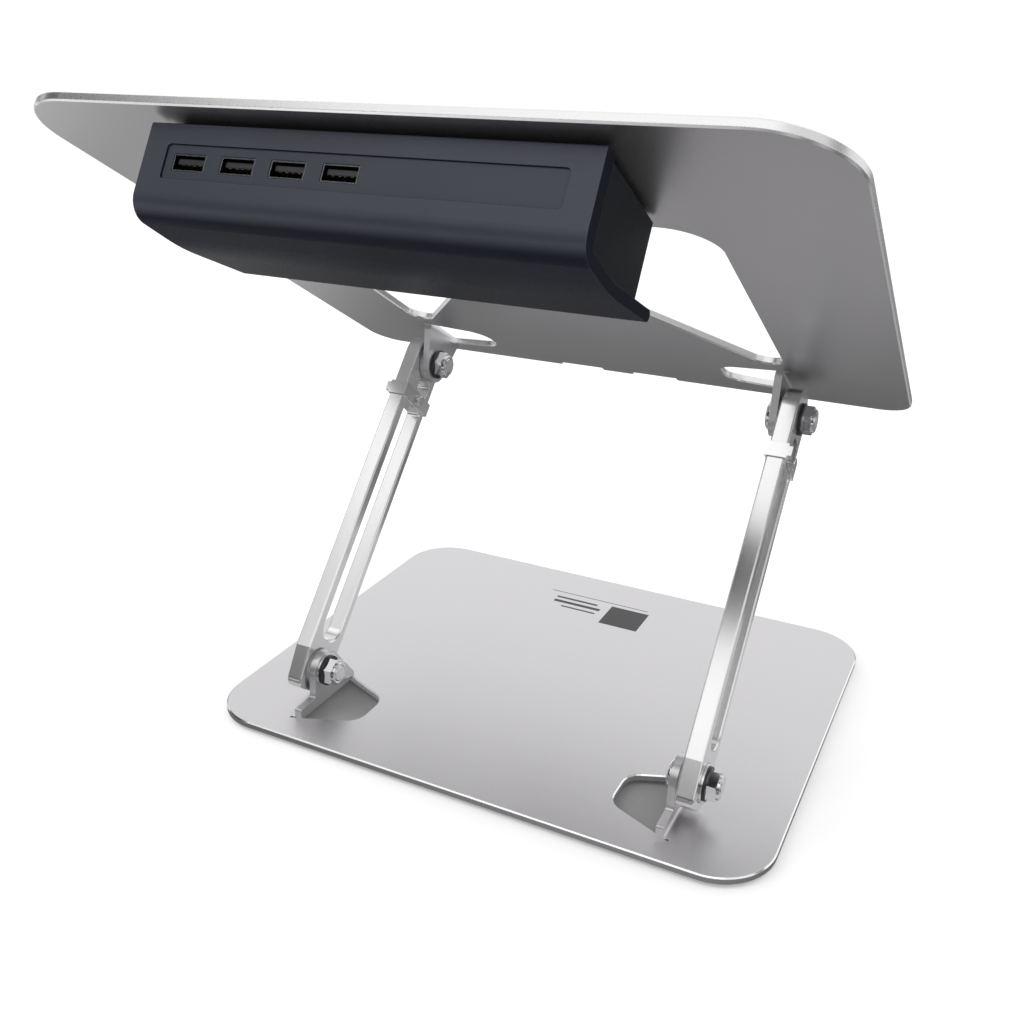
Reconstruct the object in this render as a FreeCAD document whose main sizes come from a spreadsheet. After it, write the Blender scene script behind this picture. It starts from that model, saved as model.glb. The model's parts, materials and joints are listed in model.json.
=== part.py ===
import FreeCAD, Part
import math
import os

import Sketcher

# Laptop stand: a base plate, two slotted arms and a tilting top plate with a hub under its rear edge.
# World frame: +Z up, +Y towards the rear of the stand, the user sits at -Y, and +X is the user's right.
# The origin lies on the desk, under the middle of the whole stand's box.

V = FreeCAD.Vector
doc = FreeCAD.newDocument("LaptopStand")

# ---------------------------------------------------------------------------------------------------------
# Driving dimensions: millimetres and degrees
# ---------------------------------------------------------------------------------------------------------

SIZES = [
    # pose and frame
    ("origin_shift", -30.2, "moves the base so that the origin is under the middle of the stand"),
    ("arm_angle", 48.6, "arms above the horizontal at rest"),
    ("tilt_angle", 30.3, "top plate above the horizontal at rest"),
    # sheets
    ("sheet", 3.5, "thickness of both plates"),
    ("bend_radius", 1.5, "inner radius of every bend in the plates"),
    ("bend_land", 1.0, "flat sheet between a cut-out and the start of its bend"),
    ("edge_chamfer", 0.6, "chamfer along the edges of both plates"),
    ("base_width", 273.0, "base plate along X"),
    ("base_depth", 217.0, "base plate along Y"),
    ("base_corner", 26.0, "corner radius of the base plate"),
    ("foot_height", 1.5, "rubber foot"),
    ("foot_radius", 9.0, "rubber foot"),
    ("foot_inset_x", 24.0, "foot centre from the side edge"),
    ("foot_inset_y", 24.0, "foot centre from the front and rear edges"),
    ("plate_width", 291.0, "top plate along X"),
    ("plate_depth", 270.0, "top plate from its front edge to its rear edge"),
    ("rear_corner", 29.0, "rear corner radius of the top plate"),
    ("front_corner", 15.0, "front corner radius of the top plate"),
    # ears
    ("ear_inner", 89.0, "inner face of every ear from the middle plane"),
    ("base_ear_half", 22.0, "half the length of a base ear at its bend"),
    ("plate_ear_half", 16.0, "half the length of a top ear at its bend"),
    ("ear_tip", 9.6, "radius of an ear's tip round its pivot"),
    ("ear_kerf", 0.8, "cut-out longer at each end than the ear that came out of it"),
    ("step_height", 4.8, "low step behind a base ear's tip, above the plate's top face"),
    ("step_waist", 10.0, "front end of that step behind the pivot"),
    ("base_hole_inner", 64.6, "inner side of a base cut-out from the middle plane"),
    ("base_hole_round", 9.0, "rounding of a base cut-out's inner corners"),
    ("base_hole_flat", 4.5, "centres of those roundings from the pivot, along Y"),
    ("plate_hole_inner", 60.9, "inner side of a top cut-out from the middle plane"),
    ("plate_hole_round", 11.0, "rounding of a top cut-out's inner corners"),
    ("plate_hole_flat", 1.5, "centres of those roundings from the pivot, along Y"),
    ("base_pivot_y", 72.5, "lower pivot behind the middle of the base plate"),
    ("base_pivot_z", 15.5, "lower pivot above the base plate's top face"),
    ("plate_pivot_y", 29.0, "upper pivot behind the top plate's front edge"),
    ("plate_pivot_z", 16.5, "upper pivot below the top plate's underside"),
    # windows
    ("window_outer", 94.5, "straight outer side of a window from the middle plane"),
    ("window_inner", 19.3, "inner corner of a window from the middle plane"),
    ("window_front", 42.0, "front corner of a window's triangle"),
    ("window_rear", 236.0, "rear corner of a window's triangle"),
    ("window_front_round", 7.0, "rounding of the front corner"),
    ("window_rear_round", 18.0, "rounding of the rear corner"),
    ("window_inner_round", 6.0, "rounding of the inner corner"),
    # front stops
    ("stop_centre", 20.0, "middle of a front stop from the middle plane"),
    ("stop_width", 24.0, "front stop along X"),
    ("stop_height", 22.0, "front stop above the plate's top face"),
    ("sleeve_wall", 1.6, "rubber sleeve on a front stop"),
    ("sleeve_gap", 4.0, "bare stop between the plate and its sleeve"),
    ("pad_height", 1.2, "rubber pads on the top plate"),
    # arms
    ("arm_inner", 93.7, "inner face of an arm from the middle plane"),
    ("arm_thick", 8.0, "arm along X"),
    ("arm_length", 168.0, "from the lower to the upper pivot"),
    ("arm_front", 12.0, "front face of an arm from the line of its pivots"),
    ("arm_rear", 14.0, "rear face of an arm from the line of its pivots"),
    ("heel", 6.8, "where the rear face breaks towards the lower end"),
    ("end_reach", 12.6, "lower end of an arm beyond its pivot"),
    ("end_rear", 10.8, "rear corner of the lower end from the line of its pivots"),
    ("end_round", 4.5, "rounding of that corner"),
    ("front_rail", 4.2, "thickness of the rail in front of the slot"),
    ("rear_rail", 5.4, "thickness of the rail behind the slot"),
    ("slot_start", 13.5, "lower end of the long slot from the lower pivot"),
    ("slot_end", 142.5, "upper end of the long slot from the lower pivot"),
    ("small_start", 150.5, "lower end of the short slot"),
    ("small_end", 158.6, "upper end of the short slot"),
    ("knuckle_rail", 10.0, "thickness of the knuckle behind the short slot"),
    ("arm_edge", 0.6, "rounding along the arm's long edges"),
    ("collar_start", 142.6, "collar band, lower edge from the lower pivot"),
    ("collar_height", 7.0, "collar band along the arm"),
    ("collar_wall", 0.9, "collar band"),
    ("collar_wing", 2.8, "outward wing of the collar band"),
    ("pin_radius", 2.0, "cross pin through the collar"),
    ("pin_head", 3.0, "head of the cross pin"),
    # pivots
    ("shank", 4.0, "radius of a pivot screw"),
    ("bore", 4.05, "radius of every hole round a pivot screw"),
    ("head_radius", 7.0, "radius of a pivot screw's head"),
    ("head_height", 2.4, "low head of a pivot screw"),
    ("washer_radius", 8.6, "bright washers of the pivots"),
    ("seat_washer", 1.0, "bright washer of a lower pivot, under the dark one"),
    ("friction_washer", 1.0, "thin washer between an ear and an arm"),
    ("nut_washer", 1.0, "dark washer under a lock nut"),
    ("dark_radius", 7.4, "dark washers of the pivots"),
    ("side_gap", 0.1, "play beside a turning face"),
    ("nut_flats", 12.0, "lock nut across its flats"),
    ("nut_hex", 4.4, "hexagonal part of a lock nut"),
    ("nut_height", 5.6, "whole lock nut"),
    ("screw_end", 0.3, "end of a pivot screw beyond its nut"),
    # hub
    ("hub_half", 80.0, "half the length of the hub's cover"),
    ("hub_face", 262.5, "rear face of the hub's cover from the plate's front edge"),
    ("hub_top", 2.0, "upper edge of the cover below the plate's underside"),
    ("face_wall", 6.0, "wall of the cover behind its rear face"),
    ("floor_wall", 4.2, "wall of the cover along its bottom"),
    ("hub_deep", 35.0, "lowest line of the cover below the underside"),
    ("hub_deep_y", 236.0, "place of that line from the plate's front edge"),
    ("hub_rear_deep", 33.6, "bottom of the cover at its rear face"),
    ("hub_rear_round", 8.0, "rounding between rear face and bottom"),
    ("hub_tip_y", 199.6, "front tip of the cover"),
    ("hub_tip_deep", 30.8, "bottom of the cover at its tip"),
    ("panel_half", 71.0, "half the length of the port panel"),
    ("panel_height", 12.0, "port panel"),
    ("panel_thick", 1.4, "port panel"),
    ("panel_sunk", 0.6, "port panel's face below the cover's face"),
    ("panel_round", 1.5, "corner radius of the port panel"),
    ("port_deep", 15.1, "middle of the ports below the underside"),
    ("port_first", 61.1, "first port from the middle plane"),
    ("port_pitch", 19.4, "between two ports"),
    ("port_width", 13.1, "shell of a receptacle"),
    ("port_height", 5.7, "shell of a receptacle"),
    ("port_length", 16.0, "shell of a receptacle"),
    ("port_wall", 0.4, "shell of a receptacle"),
    ("port_play", 0.2, "gap round a receptacle in the panel"),
    ("case_half", 77.5, "half the length of the hub's inner case"),
    ("case_front", 209.6, "front wall of the case from the plate's front edge"),
    ("case_rear", 256.4, "rear wall of the case from the plate's front edge"),
    ("case_top", 1.6, "upper rim of the case below the underside"),
    ("case_wall", 2.0, "walls of the case"),
    ("case_floor", 25.5, "inner floor of the case below the underside"),
    ("board_top", 17.95, "component side of the board below the underside"),
    ("board_thick", 1.6, "circuit board"),
    ("board_screw_x", 62.0, "board screws from the middle plane"),
    ("board_front_y", 218.0, "front row of board screws"),
    ("board_rear_y", 239.0, "rear row of board screws"),
    ("bracket_front", 208.0, "front edge of the hub's bracket"),
    ("bracket_rear", 255.0, "rear edge of the hub's bracket"),
    ("bracket_half", 75.0, "half the length of the bracket"),
    ("bracket_sheet", 1.5, "bracket"),
    ("bracket_lip", 9.0, "lip of the bracket below the underside"),
    ("lip_half", 67.0, "half the length of the lip"),
    ("fix_x", 50.0, "countersunk screws from the middle plane"),
    ("fix_front_y", 217.0, "front row of countersunk screws"),
    ("fix_rear_y", 246.0, "rear row of countersunk screws"),
]

sheet = doc.addObject("Spreadsheet::Sheet", "Sizes")
for row, (alias, number, meaning) in enumerate(SIZES, start=1):
    sheet.set("A%d" % row, alias)
    sheet.set("B%d" % row, str(number))
    sheet.set("C%d" % row, meaning)
    sheet.setAlias("B%d" % row, alias)
doc.recompute()


class Size:
    """A dimension that carries its number and the sheet expression that drives it."""

    def __init__(self, value, text):
        self.value = float(value)
        self.text = text

    def joined(self, other, sign, value):
        return Size(value, "(%s %s %s)" % (self.text, sign, other.text))

    def __add__(self, other):
        other = size(other)
        return self.joined(other, "+", self.value + other.value)

    def __radd__(self, other):
        return size(other) + self

    def __sub__(self, other):
        other = size(other)
        return self.joined(other, "-", self.value - other.value)

    def __rsub__(self, other):
        return size(other) - self

    def __mul__(self, other):
        other = size(other)
        return self.joined(other, "*", self.value * other.value)

    def __rmul__(self, other):
        return self * other

    def __truediv__(self, other):
        other = size(other)
        return self.joined(other, "/", self.value / other.value)

    def __neg__(self):
        return self * -1.0


def size(item):
    """A Size from a Size, a number, or the alias of a sheet cell."""
    if isinstance(item, Size):
        return item
    if isinstance(item, str):
        return Size(sheet.get(item), "<<Sizes>>." + item)
    return Size(item, "(%.6f)" % item)


def bind(target, prop, value):
    """Sets a property and ties it to the sheet."""
    target.setExpression(prop, size(value).text)


# ---------------------------------------------------------------------------------------------------------
# Sketches
# ---------------------------------------------------------------------------------------------------------

def new_sketch(body, name, plane, offset=0.0):
    """A sketch on one of the body's own origin planes, moved along that plane's normal."""
    sketch = body.newObject("Sketcher::SketchObject", name)
    base = [item for item in body.Origin.OriginFeatures if item.Role == plane][0]
    sketch.AttachmentSupport = [(base, "")]
    sketch.MapMode = "FlatFace"
    offset = size(offset)
    sketch.AttachmentOffset = FreeCAD.Placement(V(0, 0, offset.value), FreeCAD.Rotation())
    sketch.setExpression("AttachmentOffset.Base.z", offset.text)
    return sketch


def constrain(sketch, *values, drive=None):
    """Adds a constraint, tied to the sheet where it holds a dimension."""
    if drive is None:
        sketch.addConstraint(Sketcher.Constraint(*values))
        return
    drive = size(drive)
    index = sketch.addConstraint(Sketcher.Constraint(*values, drive.value))
    sketch.setExpression("Constraints[%d]" % index, drive.text)


def fix_point(sketch, item, position, across, up):
    """Holds one point of a sketch at driven coordinates."""
    if abs(size(across).value) < 1e-9:
        constrain(sketch, "PointOnObject", item, position, -2)
    else:
        constrain(sketch, "DistanceX", -1, 1, item, position, drive=across)
    if abs(size(up).value) < 1e-9:
        constrain(sketch, "PointOnObject", item, position, -1)
    else:
        constrain(sketch, "DistanceY", -1, 1, item, position, drive=up)


def corner(across, up, fillet=None):
    """A corner of an outline, sharp or rounded by a tangent arc."""
    return {"x": size(across), "y": size(up), "fillet": None if fillet is None else size(fillet)}


def bulge(across, up, radius):
    """A convex arc of an outline with a driven centre, tangent to its neighbours."""
    return {"x": size(across), "y": size(up), "bulge": size(radius)}


def arc_item(centre, radius, first, last, via):
    """An arc from first to last through via, and which of its ends first and last are."""
    angles = [math.atan2(p.y - centre.y, p.x - centre.x) for p in (first, last, via)]
    sweep = (angles[1] - angles[0]) % (2 * math.pi)
    reach = (angles[2] - angles[0]) % (2 * math.pi)
    circle = Part.Circle(centre, V(0, 0, 1), radius)
    if reach < sweep:
        return Part.ArcOfCircle(circle, angles[0], angles[0] + sweep), 1, 2
    sweep = 2 * math.pi - sweep
    return Part.ArcOfCircle(circle, angles[1], angles[1] + sweep), 2, 1


def add_loop(sketch, items):
    """A closed outline of straight sides through corners and round bulges."""
    centres = [V(item["x"].value, item["y"].value, 0) for item in items]
    count = len(items)
    area = sum(centres[i].cross(centres[(i + 1) % count]).z for i in range(count))
    if area < 0:
        items = items[::-1]
        centres = centres[::-1]
    radii = [item["bulge"].value if "bulge" in item else 0.0 for item in items]

    starts = []
    ends = []
    for i in range(count):
        k = (i + 1) % count
        run = centres[k] - centres[i]
        along = V(run).normalize()
        left = V(-along.y, along.x, 0)
        sine = (radii[k] - radii[i]) / run.Length
        normal = left * math.sqrt(1 - sine * sine) + along * sine
        starts.append(centres[i] - normal * radii[i])
        ends.append(centres[k] - normal * radii[k])

    arcs = {}
    for i, item in enumerate(items):
        before = (i - 1) % count
        if "bulge" in item:
            middle = centres[i]
            outward = (starts[i] - middle) + (ends[before] - middle)
            if outward.Length < 1e-6 or (ends[before] - starts[i]).cross(outward).z < 0:
                side = starts[i] - ends[before]
                outward = V(side.y, -side.x, 0)
            via = middle + outward.normalize() * radii[i]
            arcs[i] = arc_item(middle, radii[i], ends[before], starts[i], via)
        elif item["fillet"] is not None:
            radius = item["fillet"].value
            back = (starts[before] - centres[i]).normalize()
            ahead = (ends[i] - centres[i]).normalize()
            half = math.acos(max(-1.0, min(1.0, back.dot(ahead)))) / 2
            trim = radius / math.tan(half)
            ends[before] = centres[i] + back * trim
            starts[i] = centres[i] + ahead * trim
            middle = centres[i] + (back + ahead).normalize() * (radius / math.sin(half))
            via = middle + (centres[i] - middle).normalize() * radius
            arcs[i] = arc_item(middle, radius, ends[before], starts[i], via)

    lines = [sketch.addGeometry(Part.LineSegment(starts[i], ends[i]), False) for i in range(count)]
    for i, item in enumerate(items):
        before = lines[i - 1]
        after = lines[i]
        if i not in arcs:
            constrain(sketch, "Coincident", before, 2, after, 1)
            fix_point(sketch, after, 1, item["x"], item["y"])
            continue
        curve, first, last = arcs[i]
        arc = sketch.addGeometry(curve, False)
        constrain(sketch, "Tangent", before, 2, arc, first)
        constrain(sketch, "Tangent", arc, last, after, 1)
        if "bulge" in item:
            constrain(sketch, "Radius", arc, drive=item["bulge"])
            fix_point(sketch, arc, 3, item["x"], item["y"])
        else:
            constrain(sketch, "Radius", arc, drive=item["fillet"])
            guide = sketch.addGeometry(Part.Point(centres[i]), True)
            fix_point(sketch, guide, 1, item["x"], item["y"])
            constrain(sketch, "PointOnObject", guide, 1, before)
            constrain(sketch, "PointOnObject", guide, 1, after)


def add_circle(sketch, across, up, radius):
    centre = V(size(across).value, size(up).value, 0)
    item = sketch.addGeometry(Part.Circle(centre, V(0, 0, 1), size(radius).value), False)
    fix_point(sketch, item, 3, across, up)
    constrain(sketch, "Radius", item, drive=radius)


def add_box(sketch, left, low, right, high, fillet=None):
    add_loop(sketch, [corner(left, low, fillet), corner(right, low, fillet),
                      corner(right, high, fillet), corner(left, high, fillet)])


# ---------------------------------------------------------------------------------------------------------
# Features
# ---------------------------------------------------------------------------------------------------------

def new_body(name):
    body = doc.addObject("PartDesign::Body", name + "_body")
    body.Label = name
    return body


def pad(body, sketch, length, back=False, both=False):
    """Extrudes a sketch along its normal, against it, or half to each side."""
    feature = body.newObject("PartDesign::Pad", sketch.Name + "_pad")
    feature.Profile = sketch
    bind(feature, "Length", length)
    feature.Reversed = back
    feature.Midplane = both
    doc.recompute()
    return feature


def pocket(body, sketch, length=None, back=False, both=False):
    """Cuts a sketch to a depth, or through everything, and checks that it removed material."""
    before = body.Shape.Volume
    feature = body.newObject("PartDesign::Pocket", sketch.Name + "_cut")
    feature.Profile = sketch
    feature.Reversed = back
    feature.Midplane = both
    if length is None:
        feature.Type = "ThroughAll"
    else:
        bind(feature, "Length", length)
    doc.recompute()
    if body.Shape.Volume > before - 1e-3:
        raise RuntimeError(sketch.Name + " cuts nothing")
    return feature


def spin(body, sketch, axis="H_Axis"):
    """Turns a half section round one axis of its sketch."""
    feature = body.newObject("PartDesign::Revolution", sketch.Name + "_turned")
    feature.Profile = sketch
    feature.ReferenceAxis = (sketch, [axis])
    feature.Angle = 360
    doc.recompute()
    return feature


def break_edges(body, name, amount, chosen, kind="Chamfer"):
    """Chamfers or rounds the edges of the body's tip that the test picks."""
    tip = body.Tip
    names = ["Edge%d" % (i + 1) for i, edge in enumerate(tip.Shape.Edges) if chosen(edge)]
    if not names:
        raise RuntimeError(name + " finds no edges")
    feature = body.newObject("PartDesign::" + kind, name)
    feature.Base = (tip, names)
    bind(feature, "Size" if kind == "Chamfer" else "Radius", amount)
    doc.recompute()
    return feature


def block(name, low, high):
    """A Part::Box between two driven corners."""
    item = doc.addObject("Part::Box", name)
    for prop, axis in (("Length", 0), ("Width", 1), ("Height", 2)):
        bind(item, prop, size(high[axis]) - size(low[axis]))
    for letter, value in zip("xyz", low):
        bind(item, "Placement.Base." + letter, value)
    return item


def rod(name, radius, start, length, direction="z"):
    """A Part::Cylinder from a driven point along one axis."""
    item = doc.addObject("Part::Cylinder", name)
    bind(item, "Radius", radius)
    bind(item, "Height", length)
    turn = {"z": FreeCAD.Rotation(), "x": FreeCAD.Rotation(V(0, 1, 0), 90),
            "y": FreeCAD.Rotation(V(1, 0, 0), -90)}[direction]
    item.Placement = FreeCAD.Placement(V(0, 0, 0), turn)
    for letter, value in zip("xyz", start):
        bind(item, "Placement.Base." + letter, value)
    return item


def cut(name, base, tool):
    item = doc.addObject("Part::Cut", name)
    item.Base = base
    item.Tool = tool
    return item


def fuse(name, parts):
    item = doc.addObject("Part::MultiFuse", name)
    item.Shapes = parts
    return item


def group(name, parts):
    """Several equal solids under one name."""
    item = doc.addObject("Part::Compound", name + "_group")
    item.Links = parts
    item.Label = name
    return item


def mirrored(name, part):
    """The same piece on the other side of the stand's middle plane."""
    item = doc.addObject("Part::Mirroring", name)
    item.Source = part
    item.Base = V(0, 0, 0)
    item.Normal = V(1, 0, 0)
    return item


def pair(name, part):
    return group(name, [part, mirrored(name + "_mirrored", part)])


nodes = []


def publish(item, frame, name=None):
    """Names a finished piece and puts it in its place on the stand."""
    if name is not None:
        item.Label = name
    item.Placement = frame
    nodes.append(item)


# ---------------------------------------------------------------------------------------------------------
# Frames of the base, the arms, the upper pivots and the top plate
# ---------------------------------------------------------------------------------------------------------

def number(alias):
    return size(alias).value


def turned(point, degrees):
    return FreeCAD.Placement(point, FreeCAD.Rotation(V(1, 0, 0), degrees))


base_frame = turned(V(0, number("origin_shift"), number("foot_height") + number("sheet")), 0)
lower_pivot = base_frame.multVec(V(0, number("base_pivot_y"), number("base_pivot_z")))
lower_frame = turned(lower_pivot, 0)
arm_frame = turned(lower_pivot, -number("arm_angle"))
upper_pivot = arm_frame.multVec(V(0, -number("arm_length"), 0))
upper_frame = turned(upper_pivot, 0)
plate_turn = FreeCAD.Rotation(V(1, 0, 0), number("tilt_angle"))
pivot_in_plate = V(0, number("plate_pivot_y"), -number("plate_pivot_z"))
plate_frame = FreeCAD.Placement(upper_pivot - plate_turn.multVec(pivot_in_plate), plate_turn)

# ---------------------------------------------------------------------------------------------------------
# Bent ears, shared by both plates
# ---------------------------------------------------------------------------------------------------------

ear_outer = size("ear_inner") + "sheet"
bend_edge = ear_outer + "bend_radius" + "bend_land"
bend_outer = size("bend_radius") + "sheet"
bend_top = size("bend_radius") + 1.0
# flat length of sheet that the bend takes, measured along its middle
bend_length = (size("bend_radius") + size("sheet") / 2) * (math.pi / 2)


def cut_ear_holes(body, name, plate):
    """The two openings that the ears were folded out of."""
    sketch = new_sketch(body, name, "XY_Plane")
    pivot_y = size(plate + "_pivot_y")
    half = size(plate + "_ear_half") + "ear_kerf"
    rounding = size(plate + "_hole_round")
    centre = size(plate + "_hole_inner") + rounding
    apart = size(plate + "_hole_flat")
    # the flat ear reaches this far in from its bend, and has to fit in the opening
    blank = bend_edge - "bend_land" - bend_length - (size(plate + "_pivot_z") - "bend_radius") - "ear_tip"
    if blank.value < number(plate + "_hole_inner"):
        raise RuntimeError("%s: the ear is longer than its opening" % plate)
    for side in (1, -1):
        add_loop(sketch, [corner(bend_edge * side, pivot_y - half), corner(bend_edge * side, pivot_y + half),
                          bulge(centre * side, pivot_y + apart, rounding),
                          bulge(centre * side, pivot_y - apart, rounding)])
    pocket(body, sketch, size("sheet") * 4, both=True)


def add_ears(body, name, up, pivot_y, pivot_z, ear_half, step=()):
    """Two ears beside the cut-outs, on the side of the sheet's face z = 0 that up points to."""
    for side, word in ((1, "right"), (-1, "left")):
        bend = new_sketch(body, "%s_%s_bend" % (name, word), "XZ_Plane", -size(pivot_y))
        add_loop(bend, [corner(bend_edge * side, size("sheet") * -up),
                        corner(size("ear_inner") * side, size("sheet") * -up, bend_outer),
                        corner(size("ear_inner") * side, bend_top * up),
                        corner(ear_outer * side, bend_top * up),
                        corner(ear_outer * side, 0, "bend_radius"),
                        corner(bend_edge * side, 0)])
        pad(body, bend, size(ear_half) * 2, both=True)
        tab = new_sketch(body, "%s_%s_ear" % (name, word), "YZ_Plane", size("ear_inner") * side)
        add_loop(tab, [corner(size(pivot_y) - ear_half, bend_top * up),
                       corner(size(pivot_y) + ear_half, bend_top * up),
                       *step, bulge(pivot_y, size(pivot_z) * up, "ear_tip")])
        pad(body, tab, "sheet", back=side < 0)
    holes = new_sketch(body, name + "_bores", "YZ_Plane")
    add_circle(holes, pivot_y, size(pivot_z) * up, "bore")
    pocket(body, holes, ear_outer * 2 + 2, both=True)


def sheet_edge(edge):
    """Edges of a flat sheet's two faces, apart from those that a bend continues."""
    box = edge.BoundBox
    if box.ZLength > 1e-6:
        return False
    at_bend = box.XLength < 1e-6 and abs(abs(box.XMin) - bend_edge.value) < 1e-6
    return not at_bend


# ---------------------------------------------------------------------------------------------------------
# Base plate and its feet: z = 0 is the plate's top face
# ---------------------------------------------------------------------------------------------------------

base_plate = new_body("base_plate")
outline = new_sketch(base_plate, "base_outline", "XY_Plane")
add_box(outline, size("base_width") / -2, size("base_depth") / -2,
        size("base_width") / 2, size("base_depth") / 2, "base_corner")
pad(base_plate, outline, "sheet", back=True)
cut_ear_holes(base_plate, "base_openings", "base")
break_edges(base_plate, "base_edges", "edge_chamfer", sheet_edge)
add_ears(base_plate, "base", 1, "base_pivot_y", "base_pivot_z", "base_ear_half",
         [corner(size("base_pivot_y") + "base_ear_half", "step_height", 1.0),
          corner(size("base_pivot_y") + "step_waist", "step_height", 2.0)])
publish(base_plate, base_frame)

foot_parts = []
for across in (1, -1):
    for along in (1, -1):
        foot_parts.append(rod("foot_%d_%d" % (across + 1, along + 1), "foot_radius",
                              ((size("base_width") / 2 - "foot_inset_x") * across,
                               (size("base_depth") / 2 - "foot_inset_y") * along,
                               -size("sheet") - "foot_height"), "foot_height"))
publish(group("base_feet", foot_parts), base_frame)

# ---------------------------------------------------------------------------------------------------------
# Arms: the pivots lie on local Y, the upper one at -arm_length, and +Z is the arm's rear face
# ---------------------------------------------------------------------------------------------------------

arm_outer = size("arm_inner") + "arm_thick"
collar_end = size("collar_start") + "collar_height"
collar_middle = size("collar_start") + size("collar_height") / 2


def make_arm(name, side):
    """One slotted bar; side is 1 on the user's right and -1 on the left."""
    body = new_body(name)
    shape = new_sketch(body, name + "_outline", "YZ_Plane", size("arm_inner") * side)
    top_round = (size("arm_front") + "arm_rear") / 2
    top_rise = (size("arm_rear") - "arm_front") / 2
    add_loop(shape, [bulge(0, 0, "arm_front"), corner("end_reach", "end_rear", "end_round"),
                     corner(-size("heel"), "arm_rear"),
                     bulge(-size("arm_length"), top_rise, top_round)])
    pad(body, shape, "arm_thick", back=side < 0)

    slots = new_sketch(body, name + "_slots", "YZ_Plane", size("arm_inner") * side)
    rear = size("arm_rear") - "rear_rail"
    front = size("front_rail") - "arm_front"
    width = rear - front
    add_loop(slots, [corner(-size("slot_start"), front, width * 0.48),
                     corner(-size("slot_start"), rear, width * 0.48),
                     corner(-size("slot_end"), rear, 2.5),
                     corner(-size("slot_end"), front, 2.5)])
    knuckle = size("arm_rear") - "knuckle_rail"
    add_loop(slots, [corner(-size("small_start"), front, 2.0),
                     corner(-size("small_start"), knuckle, 2.0),
                     corner(-size("small_end"), knuckle, 4.0),
                     corner(-size("small_end"), front, 2.0)])
    pocket(body, slots, "arm_thick", back=side > 0)

    bores = new_sketch(body, name + "_bores", "YZ_Plane", size("arm_inner") * side)
    add_circle(bores, 0, 0, "bore")
    add_circle(bores, -size("arm_length"), 0, "bore")
    add_circle(bores, -collar_middle, 0, size("pin_radius") + 0.05)
    pocket(body, bores, "arm_thick", back=side > 0)

    def long_edge(edge):
        box = edge.BoundBox
        return box.XLength < 1e-6 and edge.Length > 12.5 and not edge.isClosed()

    break_edges(body, name + "_edges", "arm_edge", long_edge, kind="Chamfer")
    publish(body, arm_frame)


def make_collar(name, side):
    """A stamped band round the arm with one wing on the outside."""
    near = size("arm_inner")
    wall = size("collar_wall")
    wrap = block(name + "_wrap", (near - wall, -collar_end, -size("arm_front") - wall),
                 (arm_outer + wall, -size("collar_start"), size("arm_rear") + wall))
    wing = block(name + "_wing",
                 (arm_outer, -collar_end + 1.2, size("arm_rear") + wall - 4.6),
                 (arm_outer + "collar_wing", -size("collar_start") - 1.2, size("arm_rear") + wall))
    hole = block(name + "_hole", (near - 0.05, -collar_end - 1, -size("arm_front") - 0.05),
                 (arm_outer + 0.05, -size("collar_start") + 1, size("arm_rear") + 0.05))
    cross = rod(name + "_pin_hole", size("pin_radius") + 0.05, (near - 5, -collar_middle, 0), 20, "x")
    band = cut(name + "_band", fuse(name + "_blank", [wrap, wing]), fuse(name + "_inside", [hole, cross]))
    publish(band if side > 0 else mirrored(name + "_left", band), arm_frame, name)


def make_pin(name, side):
    """The cross pin through the collar and the arm, with a head at each end."""
    body = new_body(name + "_turned")
    start = size("arm_inner") - "collar_wall" - 1.8
    finish = arm_outer + "collar_wall" + 2.0
    section = new_sketch(body, name + "_section", "XZ_Plane")
    add_loop(section, [corner(start, 0), corner(start, size("pin_radius") + 0.6, 0.8),
                       corner(size("arm_inner") - "collar_wall", size("pin_radius") + 0.6),
                       corner(size("arm_inner") - "collar_wall", "pin_radius"),
                       corner(arm_outer + "collar_wall", "pin_radius"),
                       corner(arm_outer + "collar_wall", "pin_head"),
                       corner(finish, "pin_head", 0.8), corner(finish, 0)])
    spin(body, section)
    frame = arm_frame.multiply(turned(V(0, -collar_middle.value, 0), 0))
    publish(body if side > 0 else mirrored(name + "_left", body), frame, name)


for word, side in (("right", 1), ("left", -1)):
    make_arm(word + "_arm", side)
    make_collar(word + "_arm_collar", side)
    make_pin(word + "_collar_pin", side)

# ---------------------------------------------------------------------------------------------------------
# Pivot hardware: local X is the pivot axis, and every screw has its head on the right and its nut on the left
# ---------------------------------------------------------------------------------------------------------

# an ear, its friction washer and an arm, with the play beside the turning faces
grip = arm_outer - "ear_inner" + "side_gap"


def ring(name, start, thickness, outside):
    """A washer across the pivot axis, from start towards the right."""
    return cut(name, rod(name + "_disc", outside, (start, 0, 0), thickness, "x"),
               rod(name + "_bore", "bore", (size(start) - 1, 0, 0), size(thickness) + 2, "x"))


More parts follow.
